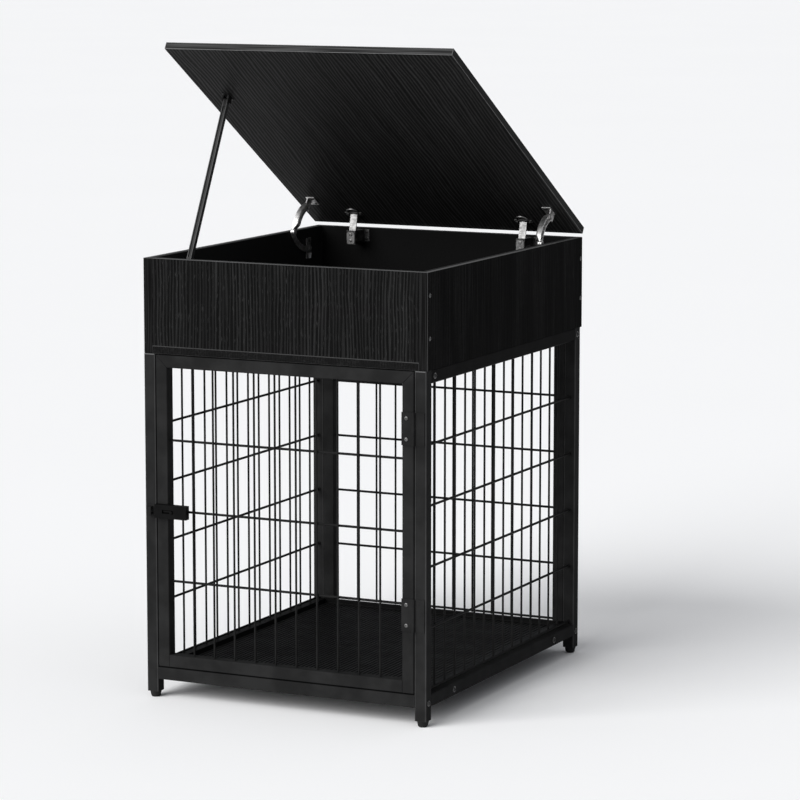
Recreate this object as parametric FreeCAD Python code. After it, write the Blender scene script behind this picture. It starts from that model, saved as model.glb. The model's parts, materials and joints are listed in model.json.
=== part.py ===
"""Furniture-style dog crate: a steel-tube frame with wire panels, a framed wire door,
a floor tray, and a wood-grain storage box on top under a flip-up lid.
Each piece is built in place and written to its own STEP file in parts/."""
import FreeCAD, Part
import math
import os

V = FreeCAD.Vector
X_AXIS = V(1, 0, 0)
Y_AXIS = V(0, 1, 0)
Z_AXIS = V(0, 0, 1)

# ---- frame (millimetres; the frame's middle is x = 0, y = 0; z = 0 is the floor) ----
frame_width = 500.0
frame_depth = 612.0
tube = 20.0
tube_wall = 1.2
foot_height = 10.0
foot_plug = 17.2
rail_bottom = 31.0
tray_bar_height = 10.0
tray_bar_y = 201.0

# ---- wires ----
wire_r = 1.7
cross_wire_r = 2.0
wire_lap = 3.3
door_wire_count = 10
door_wire_pitch = 37.04
side_wire_count = 14
side_wire_pitch = 37.8
panel_cross_z = [56.0, 153.0, 250.0, 347.0, 444.0, 541.0]
door_cross_z = [193.0, 308.0, 423.0]
wire_collar_r = 3.6
wire_collar_length = 1.6

# ---- storage box and lid ----
box_width = 502.0
box_front = -303.0
box_back = 310.0
box_bottom = 563.0
box_top = 716.0
board = 15.0
bottom_board = 12.0
lid_width = 508.0
lid_front = -308.5
lid_back = 309.5
lid_gap = 0.6
lid_thickness = 12.0
lid_pivot_y = 316.0
lid_pivot_z = 729.0
lid_open_angle = 31.5

# ---- tray ----
tray_half_width = 226.0
tray_front = -280.0
tray_back = 281.0
tray_rim_top = 55.0
tray_sheet = 1.5
rib_pitch = 7.5
rib_width = 2.5
rib_height = 1.0
rib_count = 59

# ---- door ----
door_gap = 1.5
door_bottom = 53.0
door_top = 561.5
door_leaf_height = 52.0
door_hinge_z = {"upper": 472.0, "lower": 178.0}
door_pin_r = 1.3
running_clearance = 0.05

# ---- lid stays, prop rod and concealed hinges ----
stay_lower_arm = 72.0
stay_upper_arm = 64.0
stay_arm_width = 11.0
stay_bulge = 11.0
stay_channel_x = 221.5
stay_channel_wall = 1.2
stay_channel_end = 14.0
stay_base = (242.0, 682.0)
stay_lid_from_back = 84.0
stay_lid_depth = 10.0
prop_x = -212.0
prop_from_back = 461.0
prop_depth = 8.0
prop_length = 285.0
prop_lean = 27.2
prop_size = 8.0
hinge_x = 160.0

# ---- the frame's middle is set behind the origin so the whole crate is centred on it ----
origin_shift = V(0, 4.87, 0)

half_w = frame_width / 2
front = -frame_depth / 2
back = frame_depth / 2
rail_top = rail_bottom + tube
inner_x = half_w - tube
lid_underside = box_top + lid_gap
sides = {"left": -1, "right": 1}


def save(name, shape):
    """Write one piece, moved from the frame's middle to the crate's origin."""
    placed = shape.copy()
    placed.translate(origin_shift)
    placed.exportStep("parts/" + name + ".step")


def block(x0, x1, y0, y1, z0, z1):
    """A box between two x, two y and two z values, in any order."""
    low = V(min(x0, x1), min(y0, y1), min(z0, z1))
    return Part.makeBox(abs(x1 - x0), abs(y1 - y0), abs(z1 - z0), low)


def square_tube(x0, x1, y0, y1, z0, z1, axis, cap_low=False, cap_high=False):
    """A hollow square tube along 'x', 'y' or 'z', with either end closed if asked."""
    low = [min(x0, x1), min(y0, y1), min(z0, z1)]
    high = [max(x0, x1), max(y0, y1), max(z0, z1)]
    cut_low = [v + tube_wall for v in low]
    cut_high = [v - tube_wall for v in high]
    i = "xyz".index(axis)
    if not cap_low:
        cut_low[i] = low[i] - 1
    if not cap_high:
        cut_high[i] = high[i] + 1
    outer = block(low[0], high[0], low[1], high[1], low[2], high[2])
    inner = block(cut_low[0], cut_high[0], cut_low[1], cut_high[1], cut_low[2], cut_high[2])
    return outer.cut(inner)


def rod(radius, start, end):
    """A round rod between two points."""
    return Part.makeCylinder(radius, (end - start).Length, start, end - start)


def x_disc(radius, x0, x1, y, z):
    """A round piece along X between two x values."""
    return rod(radius, V(x0, y, z), V(x1, y, z))


def x_prism(points, x0, x1):
    """A (y, z) outline extruded between two x values."""
    corners = [V(x0, y, z) for y, z in points]
    return Part.Face(Part.makePolygon(corners + corners[:1])).extrude(V(x1 - x0, 0, 0))


def joined(pieces):
    """One solid made of pieces that overlap or share faces."""
    return pieces[0].multiFuse(pieces[1:]).removeSplitter()


def opened(shape):
    """Swing a lid-mounted piece from the closed position up to its propped angle."""
    swung = shape.copy()
    swung.rotate(V(0, lid_pivot_y, lid_pivot_z), X_AXIS, -lid_open_angle)
    return swung


def opened_point(y, z):
    """The (y, z) place that a closed-lid point reaches when the lid is propped open."""
    a = math.radians(-lid_open_angle)
    dy = y - lid_pivot_y
    dz = z - lid_pivot_z
    return (lid_pivot_y + dy * math.cos(a) - dz * math.sin(a),
            lid_pivot_z + dy * math.sin(a) + dz * math.cos(a))


def build_frame():
    """Legs, feet, rails, the framed back and the two bars under the tray."""
    feet = []
    for depth_name, y0 in (("front", front), ("back", back - tube)):
        for side_name, s in sides.items():
            leg = square_tube(s * half_w, s * inner_x, y0, y0 + tube, foot_height, box_bottom, "z")
            save("leg_" + depth_name + "_" + side_name, leg)
            cx = s * (half_w - tube / 2)
            cy = y0 + tube / 2
            p = foot_plug / 2
            plug = block(cx - p, cx + p, cy - p, cy + p, foot_height, foot_height + 12)
            taper = Part.makeCone(7.7, 9.6, foot_height - 1.8, V(cx, cy, 1.8))
            toe = Part.makeCone(6.2, 7.7, 1.8, V(cx, cy, 0))
            feet.append(joined([plug, taper, toe]))
    save("feet", Part.makeCompound(feet))

    save("front_bottom_rail",
         square_tube(-inner_x, inner_x, front, front + tube, rail_bottom, rail_top, "x"))
    for side_name, s in sides.items():
        for level, z0 in (("bottom", rail_bottom), ("top", box_bottom - tube)):
            rail = square_tube(s * half_w, s * inner_x, front + tube, back - tube, z0, z0 + tube, "y")
            save(side_name + "_" + level + "_rail", rail)
        stile = square_tube(s * inner_x, s * (inner_x - tube), back - tube, back,
                            rail_bottom, box_bottom, "z", cap_low=True)
        save("back_stile_" + side_name, stile)
    for level, z0 in (("bottom", rail_bottom), ("top", box_bottom - tube)):
        rail = square_tube(-inner_x + tube, inner_x - tube, back - tube, back, z0, z0 + tube, "x")
        save("back_" + level + "_rail", rail)

    bars = []
    for y in (-tray_bar_y, tray_bar_y):
        bars.append(square_tube(-inner_x, inner_x, y - tube / 2, y + tube / 2,
                                36.0, 36.0 + tray_bar_height, "x"))
    save("tray_bars", Part.makeCompound(bars))


def wire_row(count, pitch):
    """Evenly spaced wire positions about zero."""
    return [(i - (count - 1) / 2) * pitch for i in range(count)]


def build_wire_panels():
    """The welded wire of both sides and of the back, with collars where it meets a post."""
    low = panel_cross_z[0] - cross_wire_r
    high = box_bottom - tube
    y0 = front + tube
    y1 = back - tube
    for side_name, s in sides.items():
        x_cross = s * 239.5
        x_upright = s * (239.5 - wire_lap)
        wires = []
        for z in panel_cross_z:
            wires.append(rod(cross_wire_r, V(x_cross, y0, z), V(x_cross, y1, z)))
            if z < high - wire_collar_r:
                wires.append(rod(wire_collar_r, V(x_cross, y0, z), V(x_cross, y0 + wire_collar_length, z)))
                wires.append(rod(wire_collar_r, V(x_cross, y1 - wire_collar_length, z), V(x_cross, y1, z)))
        for y in wire_row(side_wire_count, side_wire_pitch):
            wires.append(rod(wire_r, V(x_upright, y, low), V(x_upright, y, high)))
        save(side_name + "_wire_panel", joined(wires))

    y_cross = back - 8.5
    reach = inner_x - tube
    wires = []
    for z in panel_cross_z:
        wires.append(rod(cross_wire_r, V(-reach, y_cross, z), V(reach, y_cross, z)))
    for x in wire_row(door_wire_count, door_wire_pitch):
        wires.append(rod(wire_r, V(x, y_cross - wire_lap, low), V(x, y_cross - wire_lap, high)))
    save("back_wire_panel", joined(wires))


def build_tray():
    """A shallow ribbed floor tray with a flat rim, resting on the two cross bars."""
    floor_z = 36.0 + tray_bar_height
    outer = block(-tray_half_width, tray_half_width, tray_front, tray_back, floor_z, tray_rim_top)
    rim = block(-tray_half_width - 7, tray_half_width + 7, tray_front - 4.5, tray_back + 4.5,
                tray_rim_top - tray_sheet, tray_rim_top)
    hollow = block(-tray_half_width + tray_sheet, tray_half_width - tray_sheet,
                   tray_front + tray_sheet, tray_back - tray_sheet,
                   floor_z + tray_sheet, tray_rim_top + 1)
    ribs = []
    for x in wire_row(rib_count, rib_pitch):
        ribs.append(block(x - rib_width / 2, x + rib_width / 2, tray_front + 8, tray_back - 8,
                          floor_z + tray_sheet, floor_z + tray_sheet + rib_height))
    pan = outer.fuse(rim).cut(hollow)
    save("tray", joined([pan] + ribs))


def build_box():
    """Five boards of the storage box and the screw heads that show on its sides."""
    half = box_width / 2
    inner = half - board
    for side_name, s in sides.items():
        save("box_" + side_name + "_board",
             block(s * inner, s * half, box_front, box_back, box_bottom, box_top))
    floor_top = box_bottom + bottom_board
    save("box_bottom_board", block(-inner, inner, box_front, box_back, box_bottom, floor_top))
    save("box_front_board", block(-inner, inner, box_front, box_front + board, floor_top, box_top))
    save("box_back_board", block(-inner, inner, box_back - board, box_back, floor_top, box_top))

    heads = []
    for s in sides.values():
        for y in (box_front + board / 2, box_back - board / 2):
            for z in (613.0, 680.0):
                heads.append(x_disc(3.6, s * half, s * (half + 0.6), y, z))
    save("box_screws", Part.makeCompound(heads))


def socket_head(s, y, z):
    """A domed bolt head on a side face of the frame, with a hexagon socket."""
    head = x_disc(4.3, s * half_w, s * (half_w + 1.2), y, z)
    dome = Part.makeCone(4.3, 3.1, 1.2, V(s * (half_w + 1.2), y, z), V(s, 0, 0))
    corners = [(y + 2.1 * math.cos(math.radians(60 * k)), z + 2.1 * math.sin(math.radians(60 * k)))
               for k in range(6)]
    socket = x_prism(corners, s * (half_w + 1.0), s * (half_w + 3.0))
    return joined([head, dome]).cut(socket)


def build_frame_bolts():
    """Bolt heads on the legs and rails of both sides."""
    places = [(-296.0, 38.0), (-201.0, 41.0), (201.0, 41.0), (296.0, 38.0),
              (-275.0, 553.0), (293.0, 552.0)]
    heads = [socket_head(s, y, z) for s in sides.values() for y, z in places]
    save("frame_bolts", Part.makeCompound(heads))


def mitred_tube_xz(outline, hole, y0, y1):
    """A door tube from its (x, z) outline, with the (x, z) hollow taken out of it."""
    def slab(points, low, high):
        corners = [V(x, low, z) for x, z in points]
        return Part.Face(Part.makePolygon(corners + corners[:1])).extrude(V(0, high - low, 0))
    return slab(outline, y0, y1).cut(slab(hole, y0 + tube_wall, y1 - tube_wall))


def build_door():
    """The door's four tubes and its wires; mitred at the top, butted at the bottom."""
    outer = inner_x - door_gap
    inner = outer - tube
    w = tube_wall
    y0 = front
    y1 = front + tube
    for side_name, s in sides.items():
        outline = [(s * outer, door_bottom), (s * inner, door_bottom),
                   (s * inner, door_top - tube), (s * outer, door_top)]
        hole = [(s * (outer - w), door_bottom + w), (s * (inner + w), door_bottom + w),
                (s * (inner + w), door_top - tube + w), (s * (outer - w), door_top - w)]
        save("door_stile_" + side_name, mitred_tube_xz(outline, hole, y0, y1))
    top = [(-outer, door_top), (outer, door_top), (inner, door_top - tube), (-inner, door_top - tube)]
    top_hole = [(-outer + w, door_top - w), (outer - w, door_top - w),
                (inner + w, door_top - tube + w), (-inner - w, door_top - tube + w)]
    save("door_top_rail", mitred_tube_xz(top, top_hole, y0, y1))
    save("door_bottom_rail",
         square_tube(-inner, inner, y0, y1, door_bottom, door_bottom + tube, "x"))

    y_upright = front + 8.3
    y_cross = y_upright + wire_lap
    wires = [rod(cross_wire_r, V(-inner, y_cross, z), V(inner, y_cross, z)) for z in door_cross_z]
    for x in wire_row(door_wire_count, door_wire_pitch):
        wires.append(rod(wire_r, V(x, y_upright, door_bottom + tube), V(x, y_upright, door_top - tube)))
    save("door_wires", joined(wires))


def build_door_hinges():
    """Two butt hinges: a leaf on the door, a leaf on the leg and a pin through both."""
    pin_x = inner_x - door_gap / 2
    pin_y = front - 2.9
    knuckle_r = 2.6
    third = door_leaf_height / 3
    pins = []
    screws = []
    for level, zc in door_hinge_z.items():
        z0 = zc - door_leaf_height / 2
        z1 = zc + door_leaf_height / 2
        mid0 = z0 + third + 0.3
        mid1 = z1 - third - 0.3
        barrel = rod(knuckle_r, V(pin_x, pin_y, mid0), V(pin_x, pin_y, mid1))
        bore = rod(door_pin_r + running_clearance, V(pin_x, pin_y, mid0 - 1), V(pin_x, pin_y, mid1 + 1))
        leaf = block(208.0, pin_x - 2.9, front - 1.4, front, z0, z1)
        tab = block(pin_x - 3.0, pin_x, front - 1.4, front - 0.4, mid0, mid1)
        save("door_hinge_door_leaf_" + level, joined([leaf, tab, barrel]).cut(bore))

        leaf = block(pin_x + 2.9, 247.5, front - 1.4, front, z0, z1)
        pieces = [leaf]
        for low, high in ((z0, z0 + third), (z1 - third, z1)):
            pieces.append(block(pin_x, pin_x + 3.0, front - 1.4, front - 0.4, low, high))
            pieces.append(rod(knuckle_r, V(pin_x, pin_y, low), V(pin_x, pin_y, high)))
        bore = rod(door_pin_r, V(pin_x, pin_y, z0 - 1), V(pin_x, pin_y, z1 + 1))
        save("door_hinge_leg_leaf_" + level, joined(pieces).cut(bore))
        pins.append(rod(door_pin_r, V(pin_x, pin_y, z0), V(pin_x, pin_y, z1)))
        for z in (zc - 16.5, zc + 16.5):
            screws.append(rod(3.2, V(216.4, front - 1.4, z), V(216.4, front - 2.6, z)))
    save("door_hinge_pins", Part.makeCompound(pins))
    save("door_screws", Part.makeCompound(screws))


def build_latch():
    """A slide bolt in a block on the door's free stile and its keeper, a strap on the leg."""
    z = 309.5
    y = front - 5.4
    bolt_r = 2.8
    housing = block(-228.0, -170.0, front - 10.5, front, z - 11, z + 11)
    bore = x_disc(bolt_r + running_clearance, -230.0, -168.0, y, z)
    slot = block(-213.9, -194.1, front - 12.0, y, z - 2.9, z + 2.9)
    save("latch_housing", housing.cut(bore).cut(slot))
    shank = x_disc(bolt_r, -227.5, -171.0, y, z)
    knob = rod(2.6, V(-197.0, y, z), V(-197.0, front - 13.0, z))
    save("latch_bolt", joined([shank, knob]))
    base = block(-248.0, -232.0, front - 1.6, front, z - 9, z + 9)
    strap = block(-243.0, -235.0, front - 10.2, front - 1.0, z - 6.5, z + 6.5)
    window = block(-250.0, -230.0, front - 9.1, front - 1.6, z - 4.4, z + 4.4)
    save("latch_keeper", joined([base, strap]).cut(window))


def build_lid():
    """The lid board, raised about its back edge."""
    lid = block(-lid_width / 2, lid_width / 2, lid_front, lid_back,
                lid_underside, lid_underside + lid_thickness)
    save("lid_board", opened(lid))


def build_lid_hinges():
    """Concealed hinges: plate and arm on the back board, cup and link on the lid."""
    face_y = box_back - board
    cup_y = lid_back - 39.0
    plate_screws = []
    lid_screws = []
    for side_name, s in sides.items():
        cx = s * hinge_x
        plate = block(cx - 17, cx + 17, face_y - 2, face_y, 693.0, 714.0)
        save("lid_hinge_plate_" + side_name, plate)
        for dx in (-12.5, 12.5):
            for z in (697.5, 709.5):
                plate_screws.append(rod(3.0, V(cx + dx, face_y - 2, z), V(cx + dx, face_y - 3, z)))
        shell = block(cx - 8.2, cx + 8.2, face_y - 39, face_y - 2, 690.0, 714.0)
        slot = block(cx - 6.7, cx + 6.7, face_y - 37.5, face_y - 7, 689.0, 715.0)
        save("lid_hinge_arm_" + side_name, shell.cut(slot))

        flange = block(cx - 15.5, cx + 15.5, cup_y - 6, cup_y + 6, lid_underside - 1.5, lid_underside)
        link = block(cx - 6.25, cx + 6.25, cup_y - 2, cup_y, lid_underside - 33.0, lid_underside - 0.5)
        link.rotate(V(0, cup_y, lid_underside), X_AXIS, 18.4)
        save("lid_hinge_cup_" + side_name, opened(joined([flange, link])))
        for dx in (-11.5, 11.5):
            head = rod(2.6, V(cx + dx, cup_y, lid_underside - 1.5), V(cx + dx, cup_y, lid_underside - 2.4))
            lid_screws.append(opened(head))
    return plate_screws, lid_screws


def crescent(start, end, x0, x1, width=stay_arm_width):
    """A curved flat arm with round ends between two (y, z) points, bowed to its left."""
    chord = V(0, end[0] - start[0], end[1] - start[1])
    half_chord = chord.Length / 2
    radius = (half_chord ** 2 + stay_bulge ** 2) / (2 * stay_bulge)
    left = V(0, -chord.z, chord.y).normalize()
    p = V(x0, start[0], start[1])
    q = V(x0, end[0], end[1])
    middle = (p + q) * 0.5
    centre = middle - left * (radius - stay_bulge)
    w = width / 2
    out_p = (p - centre).normalize()
    out_q = (q - centre).normalize()
    along = V(0, chord.y, chord.z).normalize()
    edges = [
        Part.Arc(p + out_p * w, centre + left * (radius + w), q + out_q * w).toShape(),
        Part.Arc(q + out_q * w, q + along * w, q - out_q * w).toShape(),
        Part.Arc(q - out_q * w, centre + left * (radius - w), p - out_p * w).toShape(),
        Part.Arc(p - out_p * w, p - along * w, p + out_p * w).toShape(),
    ]
    return Part.Face(Part.Wire(edges)).extrude(V(x1 - x0, 0, 0))


def channel_arm(start, end, s):
    """An arm with flat ends whose middle is pressed into a channel, open towards the wall."""
    flat = crescent(start, end, s * 231.8, s * 229.8)
    chord = V(0, end[0] - start[0], end[1] - start[1])
    along = V(chord).normalize()
    across = V(0, -along.z, along.y)

    def band(trim):
        corners = []
        for step, side in ((trim, -30), (trim, 30), (chord.Length - trim, 30), (chord.Length - trim, -30)):
            q = V(0, start[0], start[1]) + along * step + across * side
            corners.append((q.y, q.z))
        return x_prism(corners, s * 235.0, s * 215.0)

    outside = crescent(start, end, s * 231.8, s * stay_channel_x).common(band(stay_channel_end))
    inside = crescent(start, end, s * 233.0, s * (stay_channel_x + stay_channel_wall),
                      stay_arm_width - 2 * stay_channel_wall)
    inside = inside.common(band(stay_channel_end + stay_channel_wall))
    return joined([flat, outside]).cut(inside)


def elbow_point(base, tip):
    """The (y, z) place of the elbow between base and tip, bent forward."""
    dy = tip[0] - base[0]
    dz = tip[1] - base[1]
    span = math.hypot(dy, dz)
    reach = (stay_lower_arm ** 2 - stay_upper_arm ** 2 + span ** 2) / (2 * span)
    rise = math.sqrt(stay_lower_arm ** 2 - reach ** 2)
    return (base[0] + (dy * reach - dz * rise) / span, base[1] + (dz * reach + dy * rise) / span)


def build_stays():
    """Folding lid stays at both side walls: wall bracket, two curved arms, lid bracket."""
    by, bz = stay_base
    closed_y = lid_back - stay_lid_from_back
    closed_z = lid_underside - stay_lid_depth
    tip = opened_point(closed_y, closed_z)
    ey, ez = elbow_point(stay_base, tip)
    wall_screws = []
    lid_screws = []
    for side_name, s in sides.items():
        plate = block(s * 236.0, s * 234.4, by - 8, by + 8, bz - 18, bz + 18)
        pin = x_disc(2.5, s * 234.4, s * 231.0, by, bz)
        cap = x_disc(4.2, s * 231.8, s * 230.8, by, bz)
        save("stay_wall_bracket_" + side_name, joined([plate, pin, cap]))
        for z in (bz - 13.5, bz + 13.5):
            wall_screws.append(x_disc(3.0, s * 234.4, s * 233.4, by, z))

        arm = crescent(stay_base, (ey, ez), s * 234.1, s * 232.1)
        arm = arm.cut(x_disc(2.5 + running_clearance, s * 235.0, s * 231.5, by, bz))
        elbow_pin = x_disc(2.5, s * 232.5, s * 228.4, ey, ez)
        elbow_cap = x_disc(5.5, s * 229.5, s * 227.9, ey, ez)
        save("stay_lower_arm_" + side_name, joined([arm, elbow_pin, elbow_cap]))

        arm = channel_arm((ey, ez), tip, s)
        arm = arm.cut(x_disc(2.5 + running_clearance, s * 232.5, s * 229.0, ey, ez))
        stub = x_disc(2.2, s * 230.0, s * 226.8, tip[0], tip[1])
        stub_cap = x_disc(5.0, s * 227.6, s * 226.6, tip[0], tip[1])
        save("stay_upper_arm_" + side_name, joined([arm, stub, stub_cap]))

        ear = block(s * 229.4, s * 227.9, closed_y - 8, closed_y + 8, closed_z - 7, lid_underside)
        foot = block(s * 229.4, s * 214.0, closed_y - 13, closed_y + 13,
                     lid_underside - 1.5, lid_underside)
        eye = x_disc(4.3, s * 230.5, s * 227.0, closed_y, closed_z)
        relief = block(s * 227.9, s * 225.0, closed_y - 7.5, closed_y + 7.5,
                       lid_underside - 2.0, lid_underside + 1.0)
        save("stay_lid_bracket_" + side_name, opened(joined([ear, foot]).cut(eye).cut(relief)))
        for dy in (-8.5, 8.5):
            head = rod(2.6, V(s * 218.5, closed_y + dy, lid_underside - 1.5),
                       V(s * 218.5, closed_y + dy, lid_underside - 2.4))
            lid_screws.append(opened(head))
    return wall_screws, lid_screws


def build_prop():
    """The prop rod hinged under the lid, its lid bracket and the catch that holds its foot."""
    x0 = prop_x - prop_size / 2
    x1 = prop_x + prop_size / 2
    closed_y = lid_back - prop_from_back
    closed_z = lid_underside - prop_depth
    pieces = [block(x0 - 1.8, x1 + 1.8, closed_y - 12, closed_y + 12, lid_underside - 1.5, lid_underside)]
    for a in (x0 - 1.8, x1 + 0.4):
        pieces.append(block(a, a + 1.4, closed_y - 5.5, closed_y + 5.5, closed_z - 4, lid_underside))
    pieces.append(x_disc(2.0, x0 - 1.0, x1 + 1.0, closed_y, closed_z))
    for dy in (-9.0, 9.0):
        pieces.append(rod(2.4, V(prop_x, closed_y + dy, lid_underside - 1.0),
                          V(prop_x, closed_y + dy, lid_underside - 2.3)))
    save("prop_lid_bracket", opened(joined(pieces)))

    top_y, top_z = opened_point(closed_y, closed_z)
    lean = math.radians(prop_lean)
    end_y = top_y - prop_length * math.sin(lean)
    end_z = top_z - prop_length * math.cos(lean)
    r = prop_size / 2
    bar = block(x0, x1, top_y - r, top_y + r, top_z - prop_length, top_z)
    round_top = x_disc(r, x0, x1, top_y, top_z)
    round_end = x_disc(r, x0, x1, top_y, top_z - prop_length)
    groove = block(prop_x - 2.2, prop_x + 2.2, top_y - r - 1, top_y - r + 1.5,
                   top_z - prop_length + 8, top_z - 12)
    bore = x_disc(2.0 + running_clearance, x0 - 1, x1 + 1, top_y, top_z)
    prop = joined([bar, round_top, round_end]).cut(groove).cut(bore)
    prop.rotate(V(0, top_y, top_z), X_AXIS, -prop_lean)
    save("prop_rod", prop)

    seat_y = end_y - 0.80 * (r + 0.3)
    seat_z = end_z - 0.60 * (r + 0.3)
    outline = [(seat_y - 4.2, seat_z + 5.6), (seat_y + 4.2, seat_z - 5.6),
               (seat_y + 4.2, seat_z - 18), (seat_y - 4.2, seat_z - 18)]
    save("prop_catch", x_prism(outline, -half_w + 14.0, x1 + 1.0))


os.makedirs("parts", exist_ok=True)
build_frame()
build_wire_panels()
build_tray()
build_box()
build_frame_bolts()
build_door()
build_door_hinges()
build_latch()
build_lid()
hinge_plate_screws, cup_screws = build_lid_hinges()
stay_wall_screws, stay_lid_screws = build_stays()
build_prop()
save("box_hardware_screws", Part.makeCompound(hinge_plate_screws + stay_wall_screws))
save("lid_hardware_screws", Part.makeCompound(cup_screws + stay_lid_screws))
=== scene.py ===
"""Looks for the dog crate: materials, softened edges, detailed fittings, light and camera."""
import json
import math

import bmesh
import bpy
from mathutils import Matrix, Vector


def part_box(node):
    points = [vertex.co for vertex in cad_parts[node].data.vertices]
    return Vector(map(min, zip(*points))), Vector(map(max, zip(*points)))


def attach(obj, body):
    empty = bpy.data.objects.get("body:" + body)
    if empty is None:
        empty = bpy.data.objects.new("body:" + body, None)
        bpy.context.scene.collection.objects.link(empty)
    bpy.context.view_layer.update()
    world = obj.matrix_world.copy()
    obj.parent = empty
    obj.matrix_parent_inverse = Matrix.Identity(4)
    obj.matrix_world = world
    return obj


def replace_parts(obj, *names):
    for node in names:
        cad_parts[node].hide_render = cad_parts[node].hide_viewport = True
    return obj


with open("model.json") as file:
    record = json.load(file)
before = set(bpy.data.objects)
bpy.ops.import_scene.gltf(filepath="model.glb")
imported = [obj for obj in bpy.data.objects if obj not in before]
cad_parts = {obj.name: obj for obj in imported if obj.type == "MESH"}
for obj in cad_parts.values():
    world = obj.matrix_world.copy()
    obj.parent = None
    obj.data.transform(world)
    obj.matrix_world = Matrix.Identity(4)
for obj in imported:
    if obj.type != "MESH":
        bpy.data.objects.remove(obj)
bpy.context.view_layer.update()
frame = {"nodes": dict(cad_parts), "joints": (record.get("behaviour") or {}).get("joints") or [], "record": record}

MM = 0.001
LID_ANGLE = math.radians(31.5)
NODES = frame["nodes"]
LEFT_RIGHT = {"left": -1, "right": 1}


# ---------------------------------------------------------------- material helpers
def start_material(name):
    """A new node material: its tree and its Principled shader."""
    material = bpy.data.materials.new(name)
    material.use_nodes = True
    tree = material.node_tree
    tree.nodes.clear()
    shader = tree.nodes.new("ShaderNodeBsdfPrincipled")
    output = tree.nodes.new("ShaderNodeOutputMaterial")
    tree.links.new(shader.outputs["BSDF"], output.inputs["Surface"])
    return material, tree, shader


def put(tree, socket, value):
    """Links a socket's source, or sets its constant."""
    if isinstance(value, bpy.types.NodeSocket):
        tree.links.new(value, socket)
    else:
        socket.default_value = value


def maths(tree, operation, a, b=0.0, clamp=False):
    node = tree.nodes.new("ShaderNodeMath")
    node.operation = operation
    node.use_clamp = clamp
    put(tree, node.inputs[0], a)
    put(tree, node.inputs[1], b)
    return node.outputs[0]


def product(tree, a, b, clamp=False):
    return maths(tree, "MULTIPLY", a, b, clamp)


def scaled(tree, vector, factors):
    node = tree.nodes.new("ShaderNodeVectorMath")
    node.operation = "MULTIPLY"
    put(tree, node.inputs[0], vector)
    node.inputs[1].default_value = factors
    return node.outputs[0]


def along(tree, vector, axis):
    """How far vector reaches along axis."""
    node = tree.nodes.new("ShaderNodeVectorMath")
    node.operation = "DOT_PRODUCT"
    put(tree, node.inputs[0], vector)
    node.inputs[1].default_value = axis
    return node.outputs["Value"]


def combined(tree, x, y, z):
    node = tree.nodes.new("ShaderNodeCombineXYZ")
    for socket, value in zip(node.inputs, (x, y, z)):
        put(tree, socket, value)
    return node.outputs[0]


def place(tree):
    """The point on the piece, in metres, in the piece's own frame."""
    return tree.nodes.new("ShaderNodeTexCoord").outputs["Object"]


def noise(tree, vector, scale=1.0, detail=2.0, roughness=0.5):
    node = tree.nodes.new("ShaderNodeTexNoise")
    put(tree, node.inputs["Vector"], vector)
    node.inputs["Scale"].default_value = scale
    node.inputs["Detail"].default_value = detail
    node.inputs["Roughness"].default_value = roughness
    return node.outputs["Fac"]


def streaks(tree, base, across, lengthwise, detail=2.0, roughness=0.5):
    """Noise drawn out along the grain: its fineness across and along, per metre."""
    return noise(tree, scaled(tree, base, (across, lengthwise, across)), 1.0, detail, roughness)


def stepped(tree, value, low, high, to_low=0.0, to_high=1.0):
    """A smooth step of value from low to high."""
    node = tree.nodes.new("ShaderNodeMapRange")
    node.interpolation_type = "SMOOTHSTEP"
    put(tree, node.inputs["Value"], value)
    node.inputs["From Min"].default_value = low
    node.inputs["From Max"].default_value = high
    node.inputs["To Min"].default_value = to_low
    node.inputs["To Max"].default_value = to_high
    return node.outputs["Result"]


def above(tree, value, low, high):
    """0 up to low, 1 from high on."""
    return stepped(tree, value, low, high)


def below(tree, value, low, high):
    """1 up to low, 0 from high on."""
    return stepped(tree, value, low, high, 1.0, 0.0)


def blended(tree, share, dark, light):
    """dark where share is 0, light where it is 1."""
    node = tree.nodes.new("ShaderNodeMix")
    node.data_type = "RGBA"
    put(tree, node.inputs[0], share)
    put(tree, node.inputs[6], dark)
    put(tree, node.inputs[7], light)
    return node.outputs[2]


def bumped(tree, shader, height, strength, distance):
    node = tree.nodes.new("ShaderNodeBump")
    node.inputs["Strength"].default_value = strength
    node.inputs["Distance"].default_value = distance
    tree.links.new(height, node.inputs["Height"])
    tree.links.new(node.outputs["Normal"], shader.inputs["Normal"])


def between(tree, value, low, high, soft=0.0001):
    """1 where value lies between low and high, 0 elsewhere."""
    return product(tree, above(tree, value, low - soft, low + soft),
                   below(tree, value, high - soft, high + soft))


def repainted(tree, colour, mask, level):
    """colour, turned to a plain grey level where mask is 1."""
    return blended(tree, mask, colour, grey(level))


def grey(level, warm=0.0):
    """A grey, tinted from blue towards red by warm."""
    return (level * (1 + warm), level, level * (1 - warm), 1.0)


COAT_MOTTLE = 28.0          # patches per metre
COAT_BUMP = 0.35
COAT_RELIEF = 0.00006


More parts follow.
